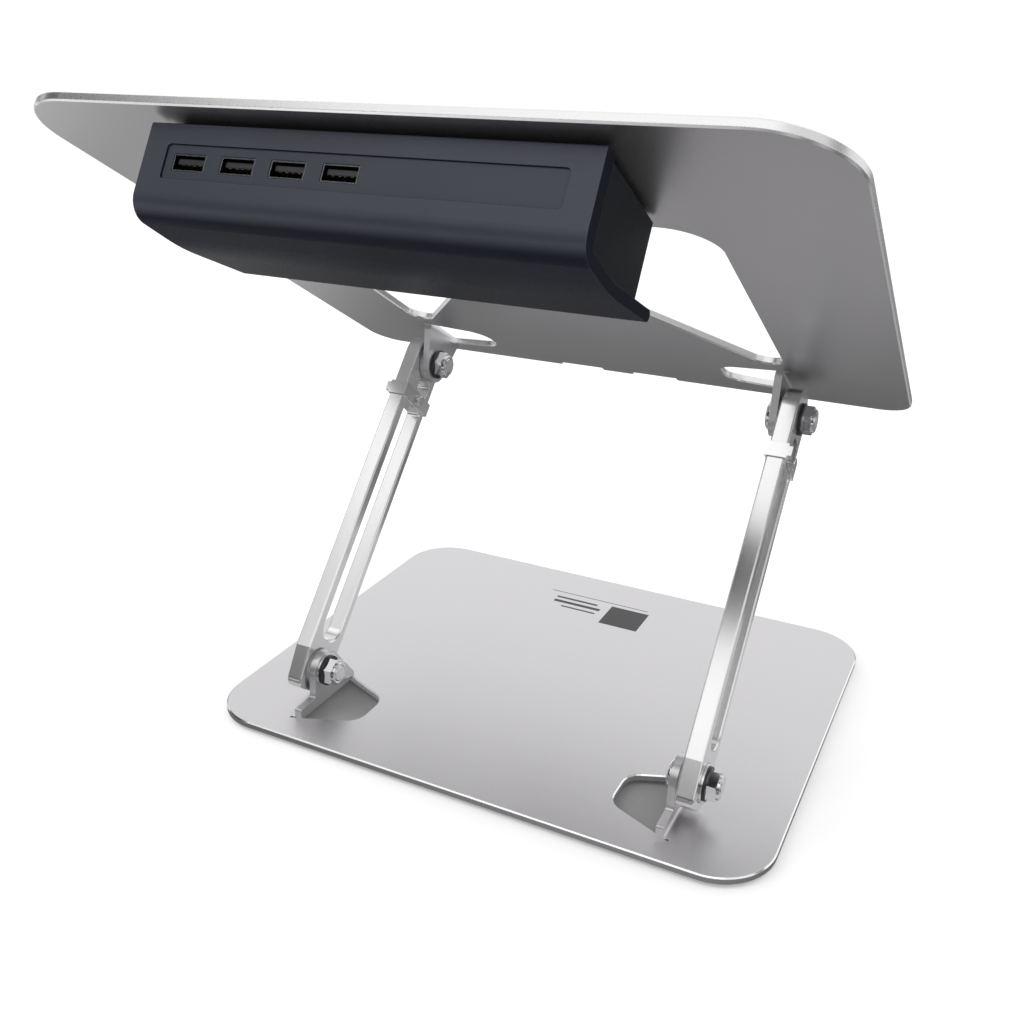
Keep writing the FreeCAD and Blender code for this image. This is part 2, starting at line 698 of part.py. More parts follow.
def make_nut(name, seat):
    """Hexagonal lock nut, leftwards from its seat: chamfered hexagon, then a round collar."""
    body = new_body(name + "_blank")
    flats = new_sketch(body, name + "_hexagon", "YZ_Plane", seat)
    radius = size("nut_flats") / math.sqrt(3)
    add_loop(flats, [corner(radius * math.cos(math.radians(60 * k + 30)),
                            radius * math.sin(math.radians(60 * k + 30))) for k in range(6)])
    pad(body, flats, "nut_hex", back=True)
    ends = new_sketch(body, name + "_chamfers", "XZ_Plane")
    touch = size("nut_flats") / 2
    for start, inward in ((seat, -1), (seat - "nut_hex", 1)):
        add_loop(ends, [corner(start - 0.5 * inward, touch - 0.35), corner(start + 1.1 * inward, touch + 2),
                        corner(start - 0.5 * inward, touch + 2)])
    groove = body.newObject("PartDesign::Groove", name + "_groove")
    groove.Profile = ends
    groove.ReferenceAxis = (ends, ["H_Axis"])
    groove.Angle = 360
    doc.recompute()
    collar = new_sketch(body, name + "_collar", "YZ_Plane", seat - "nut_hex")
    add_circle(collar, 0, 0, touch - 0.7)
    pad(body, collar, size("nut_height") - "nut_hex", back=True)
    hole = new_sketch(body, name + "_hole", "YZ_Plane", seat)
    add_circle(hole, 0, 0, "bore")
    pocket(body, hole, "nut_height")
    rim = touch.value - 0.7
    far = (seat - "nut_height").value
    break_edges(body, name + "_rim", 0.6,
                lambda edge: edge.isClosed() and abs(edge.BoundBox.XMin - far) < 1e-6
                and abs(edge.BoundBox.YMax - rim) < 1e-3, kind="Fillet")
    return body


def make_screw(name, seat, reach):
    """Pivot screw: a low domed head on the right of its seat, with a hexagonal socket."""
    body = new_body(name + "_turned")
    section = new_sketch(body, name + "_section", "XZ_Plane")
    add_loop(section, [corner(seat + "head_height", 0),
                       corner(seat + "head_height", size("head_radius") - 0.3, 1.8),
                       corner(seat, "head_radius", 0.4), corner(seat, "shank"),
                       corner(seat - reach, "shank", 0.8), corner(seat - reach, 0)])
    spin(body, section)
    socket = new_sketch(body, name + "_socket", "YZ_Plane", seat + "head_height")
    radius = size(5.0) / math.sqrt(3)
    add_loop(socket, [corner(radius * math.cos(math.radians(60 * k)),
                             radius * math.sin(math.radians(60 * k))) for k in range(6)])
    pocket(body, socket, 1.8)
    return body


for level, frame, play, spacer in (("lower", lower_frame, size(0.0), "seat_washer"),
                                   ("upper", upper_frame, size("side_gap"), None)):
    hardware = {"screws": [], "friction_washers": [], "seat_washers": [], "nut_washers": [], "nuts": []}
    for side, word in ((1, "right"), (-1, "left")):
        name = "%s_%s" % (level, word)
        head = arm_outer + "side_gap" if side > 0 else play - "ear_inner"
        seat = head - grip - play
        thin = ear_outer + "side_gap" if side > 0 else -(ear_outer + "side_gap" + "friction_washer")
        hardware["friction_washers"].append(ring(name + "_thin", thin, "friction_washer", "washer_radius"))
        if spacer:
            seat = seat - spacer
            hardware["seat_washers"].append(ring(name + "_bright", seat, spacer, "washer_radius"))
        seat = seat - "nut_washer"
        hardware["nut_washers"].append(ring(name + "_dark", seat, "nut_washer", "dark_radius"))
        hardware["nuts"].append(make_nut(name + "_nut", seat))
        hardware["screws"].append(make_screw(name + "_screw", head, head - seat + "nut_height" + "screw_end"))
    for word, pieces in hardware.items():
        if pieces:
            publish(group("%s_%s" % (level, word), pieces), frame)

# ---------------------------------------------------------------------------------------------------------
# Top plate: y runs from its front edge to its rear, z = 0 is its underside
# ---------------------------------------------------------------------------------------------------------

top_plate = new_body("top_plate")
outline = new_sketch(top_plate, "top_outline", "XY_Plane")
half_width = size("plate_width") / 2
add_loop(outline, [corner(-half_width, 0, "front_corner"), corner(half_width, 0, "front_corner"),
                   corner(half_width, "plate_depth", "rear_corner"),
                   corner(-half_width, "plate_depth", "rear_corner")])
pad(top_plate, outline, "sheet")

windows = new_sketch(top_plate, "top_windows", "XY_Plane")
window_middle = (size("window_front") + "window_rear") / 2
for side in (1, -1):
    add_loop(windows, [corner(size("window_outer") * side, "window_front", "window_front_round"),
                       corner(size("window_outer") * side, "window_rear", "window_rear_round"),
                       corner(size("window_inner") * side, window_middle, "window_inner_round")])
pocket(top_plate, windows, size("sheet") * 4, both=True)
cut_ear_holes(top_plate, "top_openings", "plate")
break_edges(top_plate, "top_edges", "edge_chamfer", sheet_edge)

# the front edge is cut back where the stops are folded up out of it
stop_root = bend_outer + "bend_land"
stop_start = size("stop_centre") - size("stop_width") / 2
stop_finish = size("stop_centre") + size("stop_width") / 2
relief = new_sketch(top_plate, "stop_relief", "XY_Plane")
for side in (1, -1):
    add_box(relief, stop_start * side, -1.0, stop_finish * side, stop_root)
pocket(top_plate, relief, size("sheet") * 4, both=True)
stop_top = size("sheet") + "stop_height"
for side, word in ((1, "right"), (-1, "left")):
    fold = new_sketch(top_plate, word + "_stop", "YZ_Plane", stop_start * side)
    add_loop(fold, [corner(stop_root, 0), corner(stop_root, "sheet"),
                    corner("sheet", "sheet", "bend_radius"), corner("sheet", stop_top, 1.2),
                    corner(0, stop_top, 1.2), corner(0, 0, bend_outer)])
    pad(top_plate, fold, "stop_width", back=side < 0)
add_ears(top_plate, "top", -1, "plate_pivot_y", "plate_pivot_z", "plate_ear_half")

fixings = new_sketch(top_plate, "top_fixings", "XY_Plane")
for across in (1, -1):
    for along in ("fix_front_y", "fix_rear_y"):
        add_circle(fixings, size("fix_x") * across, along, 1.6)
pocket(top_plate, fixings, size("sheet") * 4, both=True)
for across in (1, -1):
    for along in ("fix_front_y", "fix_rear_y"):
        sink = top_plate.newObject("PartDesign::SubtractiveCone", "sink_%d_%s" % (across + 1, along))
        bind(sink, "Radius1", 1.6)
        bind(sink, "Radius2", 3.3)
        bind(sink, "Height", 1.7)
        sink.Placement = FreeCAD.Placement(V(0, 0, 0), FreeCAD.Rotation())
        bind(sink, "Placement.Base.x", size("fix_x") * across)
        bind(sink, "Placement.Base.y", along)
        bind(sink, "Placement.Base.z", size("sheet") - 1.7)
        doc.recompute()
publish(top_plate, plate_frame)

# rubber sleeves pushed over the stops, and rubber pads for the laptop to rest on
wall = size("sleeve_wall")
sleeve_low = size("sheet") + "sleeve_gap"
sleeve = new_body("sleeve_right")
shell = new_sketch(sleeve, "sleeve_section", "YZ_Plane", stop_start - wall)
add_loop(shell, [corner(-wall, sleeve_low, 0.7), corner(size("sheet") + wall, sleeve_low, 0.7),
                 corner(size("sheet") + wall, stop_top + wall, 2.4), corner(-wall, stop_top + wall, 2.4)])
pad(sleeve, shell, size("stop_width") + wall * 2)
inside = new_sketch(sleeve, "sleeve_inside", "YZ_Plane", stop_start - 0.05)
add_loop(inside, [corner(-0.05, sleeve_low - 1), corner(size("sheet") + 0.05, sleeve_low - 1),
                  corner(size("sheet") + 0.05, stop_top + 0.05, 1.2), corner(-0.05, stop_top + 0.05, 1.2)])
pocket(sleeve, inside, size("stop_width") + 0.1, back=True)
publish(pair("stop_sleeves", sleeve), plate_frame)


def make_pad(name, across, along, length, width):
    """A flat rubber strip with round ends on the plate's top face."""
    body = new_body(name)
    shape = new_sketch(body, name + "_outline", "XY_Plane", "sheet")
    add_box(shape, size(across) - size(length) / 2, size(along) - size(width) / 2,
            size(across) + size(length) / 2, size(along) + size(width) / 2, min(length, width) * 0.49)
    pad(body, shape, "pad_height")
    break_edges(body, name + "_rim", 0.4,
                lambda edge: abs(edge.BoundBox.ZMin - number("sheet") - number("pad_height")) < 1e-6)
    return body


rear_pad = make_pad("rear_pad", 90.0, 252.0, 70.0, 12.0)
front_pad = make_pad("front_pad", 122.0, 60.0, 22.0, 60.0)
publish(group("plate_pads", [rear_pad, mirrored("rear_pad_left", rear_pad),
                             front_pad, mirrored("front_pad_left", front_pad)]), plate_frame)

# ---------------------------------------------------------------------------------------------------------
# Hub, in the top plate's frame: everything hangs below z = 0
# ---------------------------------------------------------------------------------------------------------

# bracket: a thin plate under the sheet with a short lip in front of the case
bracket = new_body("hub_bracket")
flange = new_sketch(bracket, "bracket_flange", "XY_Plane")
half = size("bracket_half")
add_loop(flange, [corner(-half, "bracket_front", 6), corner(half, "bracket_front", 6),
                  corner(half, "bracket_rear", 1), corner(-half, "bracket_rear", 1)])
pad(bracket, flange, "bracket_sheet", back=True)
lip = new_sketch(bracket, "bracket_lip", "YZ_Plane")
add_loop(lip, [corner("bracket_front", 0, 1.0), corner("bracket_front", -size("bracket_lip")),
               corner(size("bracket_front") + "bracket_sheet", -size("bracket_lip")),
               corner(size("bracket_front") + "bracket_sheet", 0)])
pad(bracket, lip, size("lip_half") * 2, both=True)
fixings = new_sketch(bracket, "bracket_fixings", "XY_Plane")
for across in (1, -1):
    for along in ("fix_front_y", "fix_rear_y"):
        add_circle(fixings, size("fix_x") * across, along, 1.55)
pocket(bracket, fixings, size("sheet") * 4, both=True)
lip_holes = new_sketch(bracket, "bracket_lip_holes", "XZ_Plane", -size("bracket_front"))
for side in (1, -1):
    add_circle(lip_holes, 38.0 * size(side), -5.6, 1.3)
pocket(bracket, lip_holes, 8.0, both=True)
publish(bracket, plate_frame)

# inner case: a tub that the bracket closes from above
case = new_body("hub_case")
section = new_sketch(case, "case_section", "YZ_Plane")
add_loop(section, [corner("case_front", -size("case_top")), corner("case_rear", -size("case_top")),
                   corner("case_rear", -29.3, 1.5), corner("hub_deep_y", -30.3),
                   corner("case_front", -27.4, 1.5)])
pad(case, section, size("case_half") * 2, both=True)
hollow = new_sketch(case, "case_hollow", "XY_Plane", -size("case_top"))
inner_half = size("case_half") - "case_wall"
add_box(hollow, -inner_half, size("case_front") + "case_wall",
        inner_half, size("case_rear") - "case_wall", 1.0)
pocket(case, hollow, size("case_floor") - "case_top")
posts = new_sketch(case, "case_posts", "XY_Plane", -size("case_floor"))
for across in (1, -1):
    for along in ("board_front_y", "board_rear_y"):
        add_circle(posts, size("board_screw_x") * across, along, 3.0)
pad(case, posts, size("case_floor") - "board_top" - "board_thick")
bosses = new_sketch(case, "case_bosses", "XZ_Plane", -size("case_front") - "case_wall")
for side in (1, -1):
    add_box(bosses, 38.0 * size(side) - 3.5, -9.5, 38.0 * size(side) + 3.5, -2.0)
pad(case, bosses, 4.5, back=True)
drills = new_sketch(case, "case_drills", "XZ_Plane", -size("case_front"))
for side in (1, -1):
    add_circle(drills, 38.0 * size(side), -5.6, 1.3)
pocket(case, drills, 6.0)
threads = new_sketch(case, "case_threads", "XY_Plane", -size("board_top") - "board_thick")
for across in (1, -1):
    for along in ("board_front_y", "board_rear_y"):
        add_circle(threads, size("board_screw_x") * across, along, 1.05)
pocket(case, threads, 6.5)
slot_left = size("port_first") - size("port_pitch") * 3 - size("port_width") / 2 - 1.0
slot_right = size("port_first") + size("port_width") / 2 + 1.0
gate = new_sketch(case, "case_gate", "XZ_Plane", -size("case_rear"))
add_box(gate, slot_left, -size("port_deep") - 3.4, slot_right, -size("port_deep") + 3.4, 0.8)
pocket(case, gate, size("case_wall") * 3, both=True)
inlet_y = size("case_front") + 20.0
inlet_z = -size("board_top") + 1.63
entry = new_sketch(case, "case_entry", "YZ_Plane", "case_half")
add_box(entry, inlet_y - 4.75, inlet_z - 1.9, inlet_y + 4.75, inlet_z + 1.9, 1.85)
pocket(case, entry, "case_wall")
publish(case, plate_frame)

# outer cover: rear face, rounded lower edge and a bottom that sweeps forward to a round tip
cover = new_body("hub_cover")
section = new_sketch(cover, "cover_section", "YZ_Plane")
face_inside = size("hub_face") - "face_wall"
add_loop(section, [corner("hub_face", -size("hub_top"), 1.0),
                   corner(face_inside, -size("hub_top")),
                   corner(face_inside, -size("hub_rear_deep") + "floor_wall", 1.8),
                   corner("hub_deep_y", -size("hub_deep") + "floor_wall", 40),
                   corner("hub_tip_y", -size("hub_tip_deep") + size("floor_wall"), 1.6),
                   corner(size("hub_tip_y") + 0.3, -size("hub_tip_deep"), 2.5),
                   corner("hub_deep_y", -size("hub_deep"), 90),
                   corner("hub_face", -size("hub_rear_deep"), "hub_rear_round")])
pad(cover, section, size("hub_half") * 2, both=True)
recess = new_sketch(cover, "cover_recess", "XZ_Plane", -size("hub_face"))
panel_low = -size("port_deep") - size("panel_height") / 2
panel_high = -size("port_deep") + size("panel_height") / 2
add_box(recess, -size("panel_half"), panel_low, size("panel_half"), panel_high, "panel_round")
pocket(cover, recess, size("panel_thick") + "panel_sunk", back=True)
gate = new_sketch(cover, "cover_gate", "XZ_Plane", -size("hub_face"))
add_box(gate, slot_left, -size("port_deep") - 3.4, slot_right, -size("port_deep") + 3.4, 0.8)
pocket(cover, gate, size("face_wall") * 3, both=True)
publish(cover, plate_frame)

# port panel in the cover's recess, with one opening for each receptacle
panel = new_body("hub_port_panel")
shape = new_sketch(panel, "panel_outline", "XZ_Plane", -size("hub_face") + "panel_sunk" + "panel_thick")
gap = 0.1
add_box(shape, -size("panel_half") + gap, panel_low + gap, size("panel_half") - gap, panel_high - gap,
        size("panel_round") - gap)
pad(panel, shape, "panel_thick", back=True)
mouths = new_sketch(panel, "panel_mouths", "XZ_Plane", -size("hub_face"))
for k in range(4):
    middle = size("port_first") - size("port_pitch") * k
    reach = size("port_width") / 2 + "port_play"
    rise = size("port_height") / 2 + "port_play"
    add_box(mouths, middle - reach, -size("port_deep") - rise, middle + reach, -size("port_deep") + rise, 0.6)
pocket(panel, mouths, size("panel_thick") * 6, both=True)
publish(panel, plate_frame)

# receptacles: drawn metal shells, tongues with their rear blocks, and four contacts under each tongue
mouth_y = size("hub_face") - "panel_sunk" - 0.1
back_y = mouth_y - "port_length"
low_z = -size("port_deep") - size("port_height") / 2
high_z = -size("port_deep") + size("port_height") / 2
shells = []
tongues = []
contacts = []
for k in range(4):
    middle = size("port_first") - size("port_pitch") * k
    left = middle - size("port_width") / 2
    right = middle + size("port_width") / 2
    outer = block("shell_%d" % k, (left, back_y, low_z), (right, mouth_y, high_z))
    inner = block("shell_hole_%d" % k, (left + "port_wall", back_y + "port_wall", low_z + "port_wall"),
                  (right - "port_wall", mouth_y + 1, high_z - "port_wall"))
    shells.append(cut("shell_cut_%d" % k, outer, inner))
    stem = block("tongue_block_%d" % k, (left + "port_wall", back_y + "port_wall", low_z + "port_wall"),
                 (right - "port_wall", back_y + 4.0, high_z - "port_wall"))
    blade = block("tongue_blade_%d" % k, (middle - 5.55, back_y + 3.0, high_z - 2.9),
                  (middle + 5.55, mouth_y - 1.2, high_z - 1.1))
    tongues.append(fuse("tongue_%d" % k, [stem, blade]))
    for j, offset in enumerate((-3.5, -1.0, 1.0, 3.5)):
        contacts.append(block("contact_%d_%d" % (k, j), (middle + offset - 0.5, back_y + 4.2, high_z - 3.05),
                              (middle + offset + 0.5, mouth_y - 1.6, high_z - 2.9)))
publish(group("usb_shells", shells), plate_frame)
publish(group("usb_tongues", tongues), plate_frame)
publish(group("usb_contacts", contacts), plate_frame)

# circuit board with its controller, and the screws that hold it to the case's posts
board = new_body("circuit_board")
shape = new_sketch(board, "board_outline", "XY_Plane", -size("board_top"))
add_box(shape, -72.0, size("case_front") + 3.0, 75.3, size("case_rear") - 2.6, 1.0)
for across in (1, -1):
    for along in ("board_front_y", "board_rear_y"):
        add_circle(shape, size("board_screw_x") * across, along, 1.3)
pad(board, shape, "board_thick", back=True)
publish(board, plate_frame)
chip = block("controller", (-34.0, 226.0, -size("board_top")), (-27.0, 233.0, -size("board_top") + 0.9))
publish(group("hub_chip", [chip]), plate_frame)

inlet_shell = new_body("inlet_shell")
shape = new_sketch(inlet_shell, "inlet_outline", "YZ_Plane", size("case_half") - 7.3)
add_box(shape, inlet_y - 4.47, inlet_z - 1.6, inlet_y + 4.47, inlet_z + 1.6, 1.55)
pad(inlet_shell, shape, 7.3)
shape = new_sketch(inlet_shell, "inlet_hollow", "YZ_Plane", size("case_half") - 6.5)
add_box(shape, inlet_y - 4.17, inlet_z - 1.3, inlet_y + 4.17, inlet_z + 1.3, 1.25)
pocket(inlet_shell, shape, 7.0, back=True)
publish(inlet_shell, plate_frame)
blade = block("inlet_blade", (size("case_half") - 6.5, inlet_y - 3.35, inlet_z - 0.35),
              (size("case_half") - 0.7, inlet_y + 3.35, inlet_z + 0.35))
publish(group("inlet_tongue", [blade]), plate_frame)


def make_small_screw(name, steps, place, turn, reach=1.1):
    """A small screw from its half section, head first along local Z, with a cross recess in its head."""
    body = new_body(name)
    section = new_sketch(body, name + "_section", "XZ_Plane")
    add_loop(section, [corner(radius, height) for radius, height in steps])
    spin(body, section, "V_Axis")
    drive = new_sketch(body, name + "_drive", "XY_Plane", steps[0][1])
    outline, quarter = [], [(0.3, reach), (0.3, 0.3), (reach, 0.3)]
    for _ in range(4):
        outline += quarter
        quarter = [(y, -x) for x, y in quarter]
    add_loop(drive, [corner(x, y) for x, y in outline])
    pocket(body, drive, 0.9)
    body.Placement = FreeCAD.Placement(V(*[size(item).value for item in place]), turn)
    return body


countersunk = ((0, 0), (3.15, 0), (1.5, -1.65), (1.5, -6.5), (0, -6.5))
screws = []
for across in (1, -1):
    for along in ("fix_front_y", "fix_rear_y"):
        screws.append(make_small_screw("plate_screw_%d_%s" % (across + 1, along), countersunk,
                                       (size("fix_x") * across, along, size("sheet") - 0.05),
                                       FreeCAD.Rotation(), 1.6))
publish(group("bracket_screws", screws), plate_frame)

round_head = ((0, 1.3), (1.6, 1.3), (2.3, 0.7), (2.3, 0), (1.25, 0), (1.25, -6.0), (0, -6.0))
screws = []
for side in (1, -1):
    screws.append(make_small_screw("lip_screw_%d" % (side + 1), round_head,
                                   (38.0 * side, "bracket_front", -5.6), FreeCAD.Rotation(V(1, 0, 0), 90)))
publish(group("case_screws", screws), plate_frame)

flat_head = ((0, 1.2), (1.8, 1.2), (1.8, 0), (1.0, 0), (1.0, -6.0), (0, -6.0))
screws = []
for across in (1, -1):
    for along in ("board_front_y", "board_rear_y"):
        screws.append(make_small_screw("board_screw_%d_%s" % (across + 1, along), flat_head,
                                       (size("board_screw_x") * across, along, -size("board_top")),
                                       FreeCAD.Rotation()))
publish(group("board_screws", screws), plate_frame)

# ---------------------------------------------------------------------------------------------------------
# Checks and export
# ---------------------------------------------------------------------------------------------------------

doc.recompute()
faults = [item.Label for item in doc.Objects if "Invalid" in item.State or "Error" in item.State]
faults += [item.Label + " shape" for item in nodes if item.Shape.isNull() or not item.Shape.isValid()]
if faults:
    raise RuntimeError("failed: " + ", ".join(faults))

os.makedirs("parts", exist_ok=True)
stand_box = FreeCAD.BoundBox()
for item in nodes:
    item.Shape.exportStep(os.path.join("parts", item.Label + ".step"))
    stand_box.add(item.Shape.BoundBox)
    print("%-24s solids %2d  volume %10.1f" % (item.Label, len(item.Shape.Solids), item.Shape.Volume))
print("nodes", len(nodes))
print("box", stand_box)
print("lower pivot", lower_pivot)
print("upper pivot", upper_pivot)
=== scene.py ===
import json
import math

import bpy
from mathutils import Matrix, Vector


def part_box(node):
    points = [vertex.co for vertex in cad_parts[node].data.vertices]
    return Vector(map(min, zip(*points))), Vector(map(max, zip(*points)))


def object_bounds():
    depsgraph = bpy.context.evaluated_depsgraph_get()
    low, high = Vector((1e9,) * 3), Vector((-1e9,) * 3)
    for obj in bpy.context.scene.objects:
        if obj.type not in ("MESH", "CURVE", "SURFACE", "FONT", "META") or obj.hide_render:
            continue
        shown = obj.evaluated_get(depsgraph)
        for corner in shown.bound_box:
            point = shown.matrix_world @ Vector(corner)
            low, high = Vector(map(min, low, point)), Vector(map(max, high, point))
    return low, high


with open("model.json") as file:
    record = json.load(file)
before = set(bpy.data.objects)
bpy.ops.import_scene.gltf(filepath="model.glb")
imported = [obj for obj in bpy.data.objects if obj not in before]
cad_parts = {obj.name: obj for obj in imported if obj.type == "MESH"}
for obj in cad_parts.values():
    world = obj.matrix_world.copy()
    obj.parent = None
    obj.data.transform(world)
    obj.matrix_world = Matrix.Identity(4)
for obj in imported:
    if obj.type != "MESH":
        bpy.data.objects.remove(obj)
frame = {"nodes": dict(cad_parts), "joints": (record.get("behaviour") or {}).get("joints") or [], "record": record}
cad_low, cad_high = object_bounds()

NODES = frame["nodes"]
MM = 0.001
SHEET = 3.5 * MM        # thickness of both plates
CHAMFER = 0.6 * MM      # along their edges
PAD = 1.2 * MM          # rubber pads on the top plate
FEET = 1.5 * MM         # rubber feet below the base plate

# ---------------------------------------------------------------------------------------------------------
# Places that the looks need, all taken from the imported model
# ---------------------------------------------------------------------------------------------------------

joints = {j["name"]: j for j in frame["joints"]}
lower_pivot = Vector(joints["left_arm_fold"]["pos_m"])
upper_pivot = Vector(joints["upper_pivot_turn"]["pos_m"])
arm_axis = Vector((0, upper_pivot.y - lower_pivot.y, upper_pivot.z - lower_pivot.z)).normalized()
arm_normal = Vector((0, -arm_axis.z, arm_axis.y))
if arm_normal.z < 0:
    arm_normal = -arm_normal
mounts = {m["name"]: m for m in frame["record"]["mounts"]}
plate_normal = Vector(mounts["laptop_rest"]["axis"]).normalized()
plate_along = Vector((0, plate_normal.z, -plate_normal.y))
base_low, base_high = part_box("base_plate")
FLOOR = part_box("base_feet")[0].z


# ---------------------------------------------------------------------------------------------------------
# Node building
# ---------------------------------------------------------------------------------------------------------

class Look:
    """A procedural material under construction."""

    def __init__(self, name):
        self.material = bpy.data.materials.new(name)
        self.material.use_nodes = True
        self.tree = self.material.node_tree
        self.tree.nodes.clear()
        self.shader = self.add("ShaderNodeBsdfPrincipled")
        output = self.add("ShaderNodeOutputMaterial")
        self.join(self.shader.outputs[0], output.inputs[0])
        self.place = self.add("ShaderNodeTexCoord").outputs["Object"]

    def add(self, kind, **settings):
        node = self.tree.nodes.new(kind)
        for key, value in settings.items():
            setattr(node, key, value)
        return node

    def join(self, source, target):
        self.tree.links.new(source, target)

    def feed(self, socket, value):
        """Sets a socket to a number or colour, or links it."""
        if isinstance(value, bpy.types.NodeSocket):
            self.join(value, socket)
        elif isinstance(value, (int, float)):
            socket.default_value = value
        else:
            alpha = (1.0,) * (len(socket.default_value) - len(value))
            socket.default_value = tuple(value) + alpha

    def put(self, name, value):
        self.feed(self.shader.inputs[name], value)

    def math(self, operation, a, b=None, c=None, clamp=False):
        node = self.add("ShaderNodeMath", operation=operation, use_clamp=clamp)
        for socket, value in zip(node.inputs, (a, b, c)):
            if value is not None:
                self.feed(socket, value)
        return node.outputs[0]

    def vary(self, base, *parts):
        """A base value, moved up and down by each noise times its amount."""
        for noise, amount in parts:
            base = self.math("ADD", base, self.math("MULTIPLY", self.math("SUBTRACT", noise, 0.5), amount))
        return base

    def spread(self, vector, scale):
        """Stretches coordinates, so that a texture gets its grain."""
        node = self.add("ShaderNodeVectorMath", operation="MULTIPLY")
        self.feed(node.inputs[0], vector)
        node.inputs[1].default_value = scale
        return node.outputs[0]

    def along(self, direction, vector=None):
        """Distance along a direction, in metres."""
        node = self.add("ShaderNodeVectorMath", operation="DOT_PRODUCT")
        self.feed(node.inputs[0], self.place if vector is None else vector)
        node.inputs[1].default_value = tuple(direction)
        return node.outputs["Value"]

    def noise(self, scale, detail=3.0, rough=0.55, vector=None, kind="FBM"):
        node = self.add("ShaderNodeTexNoise", noise_type=kind)
        self.feed(node.inputs["Vector"], self.place if vector is None else vector)
        node.inputs["Scale"].default_value = scale
        node.inputs["Detail"].default_value = detail
        node.inputs["Roughness"].default_value = rough
        return node.outputs["Fac"]

    def ramp(self, value, low, high, from_value, to_value, smooth=False):
        """Maps a value from one range to another, clamped."""
        node = self.add("ShaderNodeMapRange", clamp=True)
        if smooth:
            node.interpolation_type = "SMOOTHSTEP"
        self.feed(node.inputs["Value"], value)
        numbers = {"From Min": low, "From Max": high, "To Min": from_value, "To Max": to_value}
        for name, number in numbers.items():
            node.inputs[name].default_value = number
        return node.outputs[0]

    def mix(self, factor, first, second):
        node = self.add("ShaderNodeMix", data_type="RGBA")
        self.feed(node.inputs[0], factor)
        self.feed(node.inputs[6], first)
        self.feed(node.inputs[7], second)
        return node.outputs[2]

    def bump(self, height, distance, strength=1.0, normal=None):
        node = self.add("ShaderNodeBump")
        node.inputs["Strength"].default_value = strength
        node.inputs["Distance"].default_value = distance
        self.feed(node.inputs["Height"], height)
        if normal is not None:
            self.join(normal, node.inputs["Normal"])
        return node.outputs[0]

    def rounded(self, radius):
        """Shading normal of slightly broken edges."""
        node = self.add("ShaderNodeBevel", samples=6)
        node.inputs["Radius"].default_value = radius
        return node.outputs[0]

    def edge_mask(self, radius):
        """1 on edges and 0 on faces: how far the broken edge's normal leans from the face's own."""
        soft = self.rounded(radius)
        true = self.add("ShaderNodeNewGeometry").outputs["Normal"]
        return self.math("SUBTRACT", 1.0, self.along_pair(soft, true), clamp=True)

    def along_pair(self, a, b):
        node = self.add("ShaderNodeVectorMath", operation="DOT_PRODUCT")
        self.join(a, node.inputs[0])
        self.join(b, node.inputs[1])
        return node.outputs["Value"]

    def own_normal(self):
        """Normal in the node's own frame, so that it turns with the part."""
        return self.add("ShaderNodeTexCoord").outputs["Normal"]


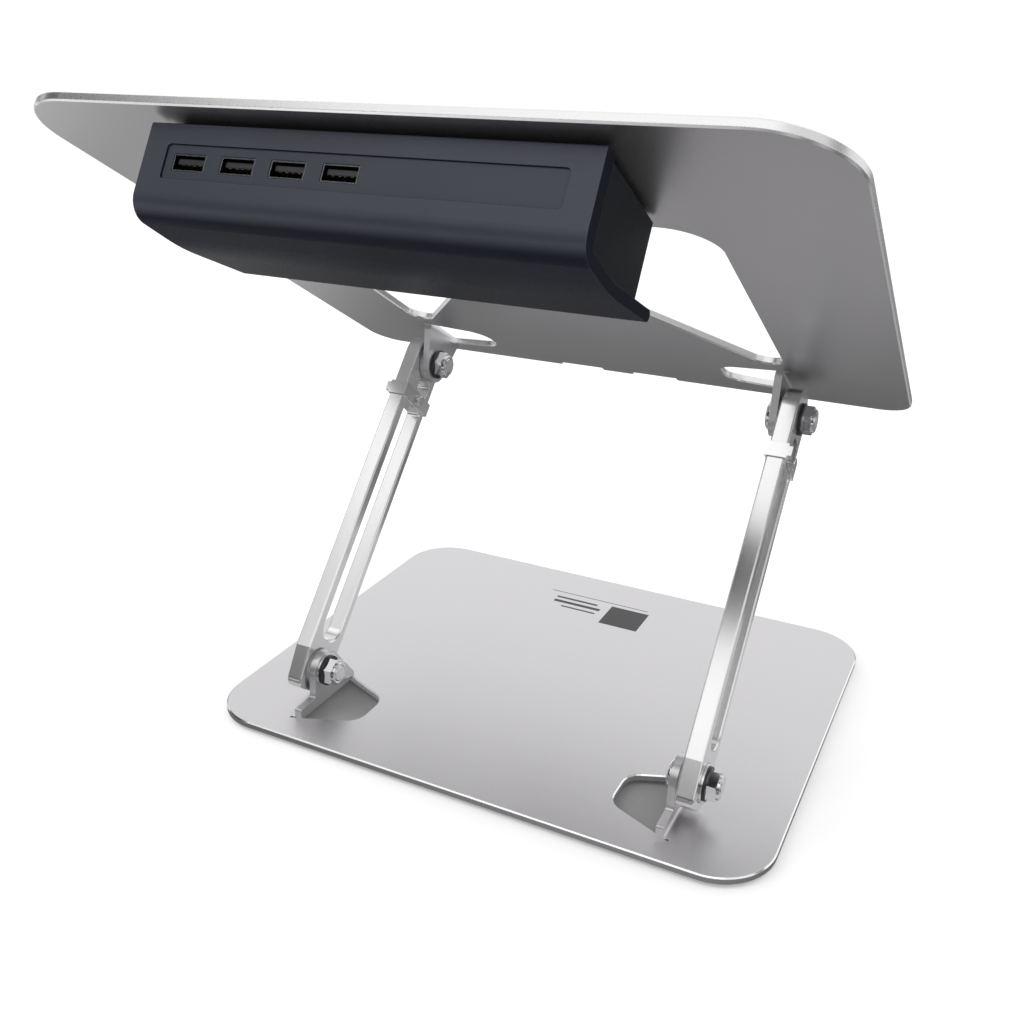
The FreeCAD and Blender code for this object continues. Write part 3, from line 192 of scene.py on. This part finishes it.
def aluminium_sheet(name, normal, top_face, mark=None, painted_underside_shade=1.0):
    """Bead-blasted, anodised aluminium sheet with bright cut chamfers.

    top_face is the height of the sheet's upper face along its normal. The last argument is painted shade: a factor
    that dims the faces turned downwards.
    """
    look = Look(name)
    height = look.along(normal)
    lean = look.math("ABSOLUTE", look.along(normal, look.own_normal()))

    def near(depth, reach, soft=0.06 * MM):
        """1 within reach of a depth below the upper face."""
        away = look.math("ABSOLUTE", look.math("SUBTRACT", height, top_face - depth))
        return look.ramp(away, reach, reach + soft, 1, 0)

    slanted = look.math("MULTIPLY", look.ramp(lean, 0.45, 0.55, 0, 1), look.ramp(lean, 0.86, 0.94, 1, 0))
    upper_edge = near(CHAMFER / 2, CHAMFER / 2 + 0.04 * MM)
    lower_edge = near(SHEET - CHAMFER / 2, CHAMFER / 2 + 0.04 * MM)
    chamfer = look.math("MULTIPLY", slanted, look.math("ADD", upper_edge, lower_edge, clamp=True))
    wall = look.math("MULTIPLY", look.ramp(lean, 0.1, 0.2, 1, 0),
                     near(SHEET / 2, SHEET / 2 - 0.05 * MM, 0.1 * MM))

    fine = look.noise(5200, 2.0, 0.6)
    grain = look.noise(1500, 3.0, 0.55)
    cloud = look.noise(9, 4.0, 0.5)
    level = look.vary(0.695, (grain, 0.045), (cloud, 0.05), (fine, 0.05))
    satin = look.add("ShaderNodeCombineColor")
    look.feed(satin.inputs[0], level)
    look.feed(satin.inputs[1], look.math("ADD", level, -0.011))
    look.feed(satin.inputs[2], look.math("ADD", level, 0.004))
    # Painted shade: faces turned downwards get a dimmed copy of the colour, because less light reaches them.
    shade = look.ramp(look.along(normal, look.own_normal()), -0.9, -0.6, painted_underside_shade, 1.0)
    dimmed = look.add("ShaderNodeVectorMath", operation="SCALE")
    look.join(satin.outputs[0], dimmed.inputs[0])
    look.join(shade, dimmed.inputs["Scale"])
    colour = look.mix(chamfer, dimmed.outputs[0], (0.93, 0.93, 0.935))
    colour = look.mix(wall, colour, (0.74, 0.74, 0.745))
    rough = look.vary(0.37, (cloud, 0.08), (grain, 0.1))
    rough = look.math("SUBTRACT", rough, look.math("MULTIPLY", chamfer, 0.2))
    rough = look.math("SUBTRACT", rough, look.math("MULTIPLY", wall, 0.08))
    blasted = look.math("MULTIPLY", look.math("ADD", fine, look.math("MULTIPLY", grain, 0.6)),
                        look.math("SUBTRACT", 1.0, look.math("MAXIMUM", chamfer, wall)))
    milled = look.noise(1.0, 2.0, 0.5, look.spread(look.place, (400, 400, 9000)))
    relief = look.math("ADD", blasted, look.math("MULTIPLY", look.math("MULTIPLY", milled, wall), 0.35))
    if mark:
        inside = mark(look)
        top_only = look.ramp(look.along(normal, look.own_normal()), 0.9, 0.99, 0, 1)
        ink = look.math("MULTIPLY", inside, top_only)
        burnt = look.mix(look.noise(7000, 1.0, 0.5), (0.10, 0.10, 0.104), (0.155, 0.155, 0.16))
        colour = look.mix(ink, colour, burnt)
        rough = look.math("ADD", rough, look.math("MULTIPLY", ink, 0.2))
    look.put("Base Color", colour)
    look.put("Metallic", 1.0)
    look.put("Roughness", rough)
    look.put("Normal", look.bump(relief, 0.03 * MM, 0.35, look.rounded(0.25 * MM)))
    return look.material


def rectangle(look, centre, half, turn=0.0):
    """1 inside a rectangle on a level face."""
    across = Vector((math.cos(turn), math.sin(turn), 0))
    up = Vector((-math.sin(turn), math.cos(turn), 0))
    inside = None
    for direction, size in ((across, half[0]), (up, half[1])):
        offset = look.math("SUBTRACT", look.along(direction), Vector(centre).dot(direction))
        part = look.ramp(look.math("ABSOLUTE", offset), size - 0.04 * MM, size + 0.04 * MM, 1, 0)
        inside = part if inside is None else look.math("MULTIPLY", inside, part)
    return inside


def base_mark(look):
    """Plain laser marking: a thin rule, three short bars and a solid block, with no lettering."""
    front = base_low.y
    shapes = [((8.9 * MM, front + 25.4 * MM, 0), (29.7 * MM, 0.3 * MM)),
              ((-11.4 * MM, front + 39.2 * MM, 0), (11.2 * MM, 10.6 * MM)),
              ((20.4 * MM, front + 31.6 * MM, 0), (12.6 * MM, 0.9 * MM)),
              ((18.6 * MM, front + 36.4 * MM, 0), (14.2 * MM, 1.3 * MM)),
              ((16.0 * MM, front + 41.4 * MM, 0), (10.4 * MM, 0.7 * MM))]
    total = None
    for centre, half in shapes:
        part = rectangle(look, centre, half)
        total = part if total is None else look.math("MAXIMUM", total, part)
    return total


def brushed_bar(name):
    """Arm: satin-polished bar, drawn along its length, with a clear anodised coat and bright broken edges, partly
    wear and partly a painted edge highlight.
    """
    look = Look(name)
    lengthwise = look.along(arm_axis)
    across = look.along((1, 0, 0))
    deep = look.along(arm_normal)
    stretched = look.add("ShaderNodeCombineXYZ")
    look.feed(stretched.inputs[0], look.math("MULTIPLY", lengthwise, 30))
    look.feed(stretched.inputs[1], look.math("MULTIPLY", across, 4200))
    look.feed(stretched.inputs[2], look.math("MULTIPLY", deep, 4200))
    lines = look.noise(1.0, 4.0, 0.6, stretched.outputs[0])
    cloud = look.noise(22, 3.0, 0.5)
    # Painted highlight along the broken edges, together with real edge wear: the edges are lightened towards bare
    # aluminium.
    edge_mask = look.ramp(look.edge_mask(0.5 * MM), 0.02, 0.25, 0, 1)
    tone = look.vary(0.79, (lines, 0.07), (cloud, 0.03))
    body = look.add("ShaderNodeCombineColor")
    for socket in body.inputs[:3]:
        look.feed(socket, tone)
    look.put("Base Color", look.mix(edge_mask, body.outputs[0], (0.94, 0.94, 0.945)))
    rough = look.vary(0.22, (lines, 0.14))
    look.put("Roughness", look.math("SUBTRACT", rough, look.math("MULTIPLY", edge_mask, 0.1)))
    look.put("Metallic", 0.95)
    look.put("Normal", look.bump(lines, 0.02 * MM, 0.12, look.rounded(0.35 * MM)))
    return look.material


def plated_steel(name, colour, rough, scratch=0.3, turned=None):
    """Bright plated or turned steel, with fine scratches and slightly dulled patches."""
    look = Look(name)
    if turned is None:
        marks = look.noise(900, 4.0, 0.65)
    else:
        marks = look.noise(1.0, 3.0, 0.6, look.spread(look.place, turned))
    patches = look.noise(160, 3.0, 0.5)
    tone = look.mix(patches, [0.93 * c for c in colour], [min(1.0, 1.05 * c) for c in colour])
    edge_mask = look.ramp(look.edge_mask(0.2 * MM), 0.03, 0.3, 0, 0.7)
    look.put("Base Color", look.mix(edge_mask, tone, (0.96, 0.96, 0.97)))
    look.put("Metallic", 1.0)
    scratched = look.math("MULTIPLY", look.math("SUBTRACT", marks, 0.45), scratch)
    look.put("Roughness", look.math("ADD", rough, scratched))
    look.put("Normal", look.bump(marks, 0.01 * MM, 0.15, look.rounded(0.12 * MM)))
    return look.material


def black_oxide(name):
    look = Look(name)
    grain = look.noise(1800, 3.0, 0.6)
    patches = look.noise(240, 2.0, 0.5)
    look.put("Base Color", look.mix(patches, (0.035, 0.035, 0.038), (0.075, 0.075, 0.08)))
    look.put("Metallic", 0.7)
    look.put("Roughness", look.ramp(grain, 0.2, 0.8, 0.28, 0.48))
    look.put("Normal", look.bump(grain, 0.015 * MM, 0.3, look.rounded(0.12 * MM)))
    return look.material


def nylon(name):
    look = Look(name)
    grain = look.noise(1400, 2.0, 0.5)
    look.put("Base Color", look.mix(look.noise(60, 2.0), (0.56, 0.56, 0.55), (0.66, 0.66, 0.65)))
    look.put("Roughness", look.ramp(grain, 0.2, 0.8, 0.38, 0.5))
    look.put("Subsurface Weight", 0.1)
    look.put("Subsurface Scale", 0.001)
    look.put("Normal", look.bump(grain, 0.01 * MM, 0.2))
    return look.material


def rubber(name):
    """Dark moulded rubber with a fine leather-like texture and a little dust."""
    look = Look(name)
    cells = look.add("ShaderNodeTexVoronoi", feature="SMOOTH_F1")
    look.join(look.place, cells.inputs["Vector"])
    cells.inputs["Scale"].default_value = 1500
    grain = look.noise(2600, 3.0, 0.6)
    dust = look.ramp(look.noise(140, 4.0, 0.6), 0.5, 0.75, 0, 0.35)
    look.put("Base Color", look.mix(dust, (0.030, 0.030, 0.032), (0.085, 0.085, 0.085)))
    look.put("Roughness", look.ramp(grain, 0.2, 0.8, 0.62, 0.82))
    look.put("Sheen Weight", 0.15)
    relief = look.math("ADD", cells.outputs["Distance"], look.math("MULTIPLY", grain, 0.4))
    look.put("Normal", look.bump(relief, 0.06 * MM, 0.5, look.rounded(0.3 * MM)))
    return look.material


def moulded(name, dark, light, rough_low, rough_high, texture=1500, depth=0.04, shine=0.5, face=None):
    """Moulded plastic with a spark-eroded texture, paler along its edges: partly rubbed wear, partly a painted
    edge highlight.

    face, if given, is the direction of the side that stays light and glossy. The rest gets painted shade: a darker
    copy of the colour and less shine.
    """
    look = Look(name)
    pits = look.noise(texture, 3.0, 0.6)
    fine = look.noise(texture * 3.1, 2.0, 0.5)
    cloud = look.noise(18, 3.0, 0.5)
    edge_mask = look.ramp(look.edge_mask(0.5 * MM), 0.03, 0.35, 0, 0.55)
    base = look.mix(look.ramp(cloud, 0.3, 0.7, 0, 1), dark, light)
    if face is not None:
        # Painted shade: faces turned away from face get a darker copy of the colour and less shine, because less
        # light reaches them.
        lit_side_mask = look.ramp(look.along(face, look.own_normal()), 0.5, 0.97, 0, 1, smooth=True)
        base = look.mix(lit_side_mask, [0.4 * c for c in dark], base)
        shine = look.ramp(lit_side_mask, 0, 1, 0.05 * shine, shine)
    # Paler broken edges: partly rubbed wear, partly a painted edge highlight.
    look.put("Base Color", look.mix(edge_mask, base, [c * 2.2 + 0.012 for c in light]))
    look.put("Roughness", look.ramp(pits, 0.25, 0.75, rough_low, rough_high))
    look.put("Specular IOR Level", shine)
    look.put("Normal", look.bump(look.math("ADD", pits, look.math("MULTIPLY", fine, 0.4)),
                                 depth * MM, 0.45, look.rounded(0.35 * MM)))
    return look.material


def powder_coat(name):
    look = Look(name)
    peel = look.noise(700, 2.0, 0.5)
    fine = look.noise(4200, 2.0, 0.5)
    look.put("Base Color", look.mix(look.noise(30, 2.0), (0.012, 0.013, 0.016), (0.019, 0.020, 0.024)))
    look.put("Roughness", look.ramp(fine, 0.2, 0.8, 0.42, 0.6))
    look.put("Normal", look.bump(look.math("ADD", peel, look.math("MULTIPLY", fine, 0.3)), 0.05 * MM, 0.4,
                                 look.rounded(0.2 * MM)))
    return look.material


def solder_mask(name):
    """Green board with faint copper tracks under the mask."""
    look = Look(name)
    cells = look.add("ShaderNodeTexBrick")
    look.join(look.spread(look.place, (1, 1, 1)), cells.inputs["Vector"])
    cells.inputs["Scale"].default_value = 160
    cells.inputs["Mortar Size"].default_value = 0.03
    cells.inputs["Color1"].default_value = (0, 0, 0, 1)
    cells.inputs["Color2"].default_value = (0.15, 0.15, 0.15, 1)
    cells.inputs["Mortar"].default_value = (1, 1, 1, 1)
    look.put("Base Color", look.mix(cells.outputs["Color"], (0.012, 0.085, 0.035), (0.03, 0.17, 0.07)))
    look.put("Roughness", look.ramp(look.noise(500, 3.0), 0.2, 0.8, 0.25, 0.4))
    look.put("Normal", look.bump(cells.outputs["Fac"], 0.03 * MM, 0.4))
    return look.material


def gold(name):
    look = Look(name)
    marks = look.noise(1.0, 3.0, 0.6, look.spread(look.place, (6000, 900, 900)))
    look.put("Base Color", look.mix(look.noise(400, 2.0), (0.86, 0.70, 0.42), (0.95, 0.82, 0.58)))
    look.put("Metallic", 1.0)
    look.put("Roughness", look.ramp(marks, 0.2, 0.8, 0.16, 0.34))
    look.put("Normal", look.bump(marks, 0.005 * MM, 0.2))
    return look.material


plate_top = Vector(mounts["laptop_rest"]["pos_m"]).dot(plate_normal) - PAD
MATERIALS = {
    "base_plate": aluminium_sheet("base_aluminium", (0, 0, 1), FEET + SHEET, base_mark),
    # The top plate's downward faces get painted shade.
    "top_plate": aluminium_sheet("top_aluminium", plate_normal, plate_top, painted_underside_shade=0.84),
    "arm": brushed_bar("arm_aluminium"),
    "collar": plated_steel("stamped_steel", (0.78, 0.78, 0.79), 0.17, 0.1),
    "pin": plated_steel("turned_pin", (0.74, 0.74, 0.75), 0.2, 0.25, (5000, 300, 300)),
    "screw": plated_steel("plated_screw", (0.78, 0.78, 0.79), 0.12, 0.2, (4500, 260, 260)),
    "nut": plated_steel("plated_nut", (0.76, 0.76, 0.775), 0.07, 0.1),
    "bright_washer": plated_steel("zinc_washer", (0.80, 0.80, 0.81), 0.2, 0.25),
    "dark_washer": black_oxide("black_washer"),
    "nylon": nylon("nylon_washer"),
    "rubber": rubber("moulded_rubber"),
    "bracket": powder_coat("bracket_coat"),
    # The hub cover gets painted shade on the sides not turned towards plate_along.
    "hub": moulded("hub_plastic", (0.024, 0.027, 0.040), (0.031, 0.035, 0.050), 0.3, 0.44, shine=0.42,
                   face=plate_along),
    "case": moulded("case_plastic", (0.007, 0.0085, 0.0115), (0.010, 0.0115, 0.0155), 0.36, 0.5, shine=0.12),
    "panel": moulded("panel_plastic", (0.022, 0.026, 0.037), (0.029, 0.033, 0.046), 0.3, 0.44, 2200, 0.02,
                     shine=0.38),
    "port_metal": plated_steel("port_shell", (0.075, 0.077, 0.084), 0.3, 0.25, (900, 6000, 900)),
    "port_black": moulded("port_plastic", (0.012, 0.012, 0.014), (0.018, 0.018, 0.02), 0.3, 0.42, 2600, 0.01),
    "contact": gold("contact_gold"),
    "board": solder_mask("board_mask"),
    "small_screw": plated_steel("small_screw_steel", (0.42, 0.42, 0.43), 0.22, 0.25),
}

USED_BY = {
    "base_plate": ("base_plate",),
    "top_plate": ("top_plate",),
    "arm": ("left_arm", "right_arm"),
    "collar": ("left_arm_collar", "right_arm_collar"),
    "pin": ("left_collar_pin", "right_collar_pin"),
    "screw": ("lower_screws", "upper_screws"),
    "nut": ("lower_nuts", "upper_nuts"),
    "bright_washer": ("lower_seat_washers",),
    "dark_washer": ("lower_nut_washers", "upper_nut_washers"),
    "nylon": ("lower_friction_washers", "upper_friction_washers"),
    "rubber": ("base_feet", "stop_sleeves", "plate_pads"),
    "bracket": ("hub_bracket",),
    "case": ("hub_case",),
    "hub": ("hub_cover",),
    "panel": ("hub_port_panel",),
    "port_metal": ("usb_shells", "inlet_shell"),
    "port_black": ("usb_tongues", "hub_chip", "inlet_tongue"),
    "contact": ("usb_contacts",),
    "board": ("circuit_board",),
    "small_screw": ("bracket_screws", "case_screws", "board_screws"),
}
USED = {node_name: look_name for look_name, names in USED_BY.items() for node_name in names}
for node_name, look_name in USED.items():
    mesh = NODES[node_name].data
    if not mesh.materials:
        mesh.materials.append(None)
    for index in range(len(mesh.materials)):
        mesh.materials[index] = MATERIALS[look_name]
missing = set(NODES) - set(USED)
if missing:
    raise RuntimeError("no look for %s" % sorted(missing))

# ---------------------------------------------------------------------------------------------------------
# Stage: a pale floor, a white surround, soft lights, and cards that only show in reflections
# ---------------------------------------------------------------------------------------------------------


def sheet_object(name, corners, material):
    mesh = bpy.data.meshes.new(name)
    mesh.from_pydata(corners, [], [tuple(range(len(corners)))])
    mesh.materials.append(material)
    item = bpy.data.objects.new(name, mesh)
    bpy.context.scene.collection.objects.link(item)
    return item


def ring_of_points(radius, height, count=96):
    return [(radius * math.cos(2 * math.pi * k / count), radius * math.sin(2 * math.pi * k / count), height)
            for k in range(count)]


def reflect_only(item):
    """Seen in reflections and nowhere else."""
    for ray in ("camera", "diffuse", "shadow", "transmission", "volume_scatter"):
        setattr(item, "visible_" + ray, False)


def glow(name, strength):
    """An emitting card. strength is a number, or a function that builds nodes."""
    look = Look(name)
    look.tree.nodes.remove(look.shader)
    light = look.add("ShaderNodeEmission")
    output = next(node for node in look.tree.nodes if node.type == "OUTPUT_MATERIAL")
    look.feed(light.inputs["Strength"], strength(look) if callable(strength) else strength)
    look.join(light.outputs[0], output.inputs[0])
    return look.material


def paper():
    """White studio floor, with painted shade: a grey patch without the floor's glow lies hidden under the base and
    shows through its cut-outs as their shadow.
    """
    look = Look("floor_paper")
    middle = (base_low + base_high) / 2
    half = (base_high - base_low) / 2
    inside = rectangle(look, (middle.x, middle.y, 0), (half.x - 14 * MM, half.y - 14 * MM))
    fleck = look.noise(900, 2.0)
    # Painted shade: inside the base's outline the floor is grey and does not glow, so the cut-outs look shadowed.
    shade_patch = look.mix(fleck, (0.34, 0.34, 0.34), (0.40, 0.40, 0.40))
    look.put("Base Color", look.mix(inside, (0.93, 0.93, 0.93), shade_patch))
    look.put("Roughness", 0.95)
    look.put("Specular IOR Level", 0.0)
    look.put("Emission Color", (1, 1, 1))
    look.put("Emission Strength", look.ramp(inside, 0, 1, 0.16, 0))
    return look.material


def card_strength(look):
    """Grey floor in reflections, lightest far to the right and behind, with darker lanes."""
    side = look.math("ADD", look.ramp(look.along((1, 0.2, 0)), 0.05, 0.4, 0.16, 0.62, smooth=True),
                     look.ramp(look.along((1, 0.2, 0)), -0.25, 0.0, 0.12, 0, smooth=True))
    lanes = look.math("SINE", look.math("MULTIPLY", look.along((0.6, 1, 0)), 26))
    striped = look.math("MULTIPLY", side, look.math("ADD", 1.0, look.math("MULTIPLY", lanes, 0.45)))
    return look.math("ADD", striped, look.ramp(look.along((0, 1, 0)), 0.25, 0.9, 0, 0.4, smooth=True))


def flag(name, radius, low, high, first, last, strength, steps=40):
    """A curved upright card round the stand.

    low and high are its elevations, first and last its azimuths in degrees, from +Y towards -X.
    """
    corners, faces = [], []
    for k in range(steps + 1):
        turn = math.radians(first + (last - first) * k / steps)
        for rise in (low, high):
            corners.append((-radius * math.sin(turn), radius * math.cos(turn),
                            radius * math.tan(math.radians(rise))))
    for k in range(steps):
        faces.append((2 * k, 2 * k + 1, 2 * k + 3, 2 * k + 2))
    mesh = bpy.data.meshes.new(name)
    mesh.from_pydata(corners, [], faces)
    mesh.materials.append(glow(name, strength))
    item = bpy.data.objects.new(name, mesh)
    bpy.context.scene.collection.objects.link(item)
    reflect_only(item)


floor = sheet_object("studio_floor", ring_of_points(40.0, FLOOR), paper())
floor_card = ring_of_points(6.0, FLOOR + 0.4 * MM)
reflect_only(sheet_object("reflection_floor", floor_card, glow("floor_card", card_strength)))
flag("flag_rear", 3.0, 1.0, 27.0, -75, 60, 0.10)
flag("flag_right", 3.2, 4.0, 60.0, -112, -96, 0.25)
flag("flag_left", 3.2, 6.0, 50.0, 92, 108, 0.25)
flag("flag_side", 2.9, 1.0, 42.0, -88, -50, 0.06)
flag("card_rear", 2.8, 42.0, 70.0, -70, 40, 1.3)



def white_surround(strength, levels):
    """White world. levels gives its brightness against height, from the horizon (0) to overhead (1)."""
    world = bpy.data.worlds.new("studio")
    world.use_nodes = True
    tree = world.node_tree
    tree.nodes.clear()
    direction = tree.nodes.new("ShaderNodeTexCoord")
    split = tree.nodes.new("ShaderNodeSeparateXYZ")
    fade = tree.nodes.new("ShaderNodeFloatCurve")
    gain = tree.nodes.new("ShaderNodeMath")
    back = tree.nodes.new("ShaderNodeBackground")
    output = tree.nodes.new("ShaderNodeOutputWorld")
    curve = fade.mapping.curves[0]
    for height, level in levels[1:-1]:
        curve.points.new(height, level)
    curve.points[0].location = levels[0]
    curve.points[-1].location = levels[-1]
    fade.mapping.update()
    gain.operation = "MULTIPLY"
    gain.inputs[1].default_value = strength
    back.inputs["Color"].default_value = (1, 1, 1, 1)
    tree.links.new(direction.outputs["Generated"], split.inputs[0])
    tree.links.new(split.outputs["Z"], fade.inputs["Value"])
    tree.links.new(fade.outputs[0], gain.inputs[0])
    tree.links.new(gain.outputs[0], back.inputs["Strength"])
    tree.links.new(back.outputs[0], output.inputs[0])
    bpy.context.scene.world = world


white_surround(1.06, ((0.0, 1.0), (0.25, 1.0), (0.47, 0.98), (0.62, 0.82), (0.8, 0.86), (1.0, 0.9)))


def soft_light(name, place, target, size, power):
    lamp = bpy.data.lights.new(name, "AREA")
    lamp.shape = "RECTANGLE"
    lamp.size, lamp.size_y = size
    lamp.energy = power
    item = bpy.data.objects.new(name, lamp)
    bpy.context.scene.collection.objects.link(item)
    item.location = place
    item.rotation_mode = "QUATERNION"
    item.rotation_quaternion = (Vector(target) - Vector(place)).to_track_quat("-Z", "Y")
    item.visible_glossy = False


centre = (cad_low + cad_high) / 2
soft_light("key_light", (1.1, 0.6, 1.7), centre, (1.2, 1.2), 11)
soft_light("fill_light", (-1.5, -0.4, 1.3), centre, (1.4, 1.4), 4)

# ---------------------------------------------------------------------------------------------------------
# Camera
# ---------------------------------------------------------------------------------------------------------

CAMERA_PLACE = Vector((-0.19197, 0.40532, 0.30010))
azimuth = math.radians(206.5)
elevation = math.radians(23.39)
roll = math.radians(0.64)
backward = Vector((math.sin(azimuth) * math.cos(elevation), -math.cos(azimuth) * math.cos(elevation),
                   math.sin(elevation)))
level_right = Vector((math.cos(azimuth), math.sin(azimuth), 0))
level_up = backward.cross(level_right)
right = level_right * math.cos(roll) + level_up * math.sin(roll)
up = level_up * math.cos(roll) - level_right * math.sin(roll)
camera_data = bpy.data.cameras.new("camera")
camera_data.sensor_width = 36
camera_data.lens = 37.75570
camera_data.clip_start = 0.01
camera_data.clip_end = 200
camera = bpy.data.objects.new("camera", camera_data)
bpy.context.scene.collection.objects.link(camera)
camera.matrix_world = Matrix.LocRotScale(CAMERA_PLACE, Matrix((right, up, backward)).transposed(), None)
bpy.context.scene.camera = camera
bpy.context.scene.view_settings.view_transform = "Standard"
bpy.context.scene.view_settings.look = "None"
